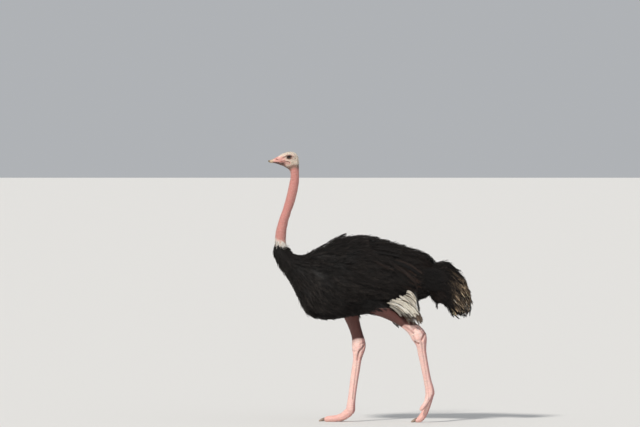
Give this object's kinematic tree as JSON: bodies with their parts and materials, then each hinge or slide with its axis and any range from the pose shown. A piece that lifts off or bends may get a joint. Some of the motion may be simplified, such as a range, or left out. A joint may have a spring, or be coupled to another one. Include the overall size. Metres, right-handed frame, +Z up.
{
  "type": "life-size male ostrich display model",
  "caption": "Life-size male ostrich in mid-stride, still, with a bare pink neck and legs, black plumage and white wing plumes.",
  "frame": {"origin": "on the floor, under the middle of the bird's bounding box", "axes": "+Z up from the floor; the bird faces -Y, and its left side is +X"},
  "size_m": [0.5842, 1.5758, 2.0958],
  "materials": {
    "face": "pink skin under short cream down",
    "bill": "satin horn, pink with a grey-brown nail at the tip",
    "eye": "glossy dark brown",
    "neck_skin": "matt pink skin with fine wrinkles and sparse down",
    "white_plumes": "soft off-white feather",
    "black_plumes": "soft black feather with a slight sheen",
    "tail_plumes": "soft black-brown feather with fawn tips",
    "leg_skin": "pale pink scaly skin, matt",
    "claw": "worn brown horn"
  },
  "bodies": {
    "root": {"head": "face", "bill_upper": "bill", "bill_lower": "bill", "eye_left": "eye", "eye_right": "eye", "neck_upper": "neck_skin", "neck_lower": "neck_skin", "neck_collar": "white_plumes", "neck_base": "black_plumes", "trunk": "black_plumes", "wing_left": "black_plumes", "wing_right": "black_plumes", "primaries_left": "white_plumes", "primaries_right": "white_plumes", "tail": "tail_plumes", "shank_left": "leg_skin", "shank_right": "leg_skin", "hock_left": "leg_skin", "hock_right": "leg_skin", "tarsus_left": "leg_skin", "tarsus_right": "leg_skin", "toe_inner_left": "leg_skin", "toe_inner_right": "leg_skin", "toe_outer_left": "leg_skin", "toe_outer_right": "leg_skin", "claw_left": "claw", "claw_right": "claw"}
  },
  "joints": []
}
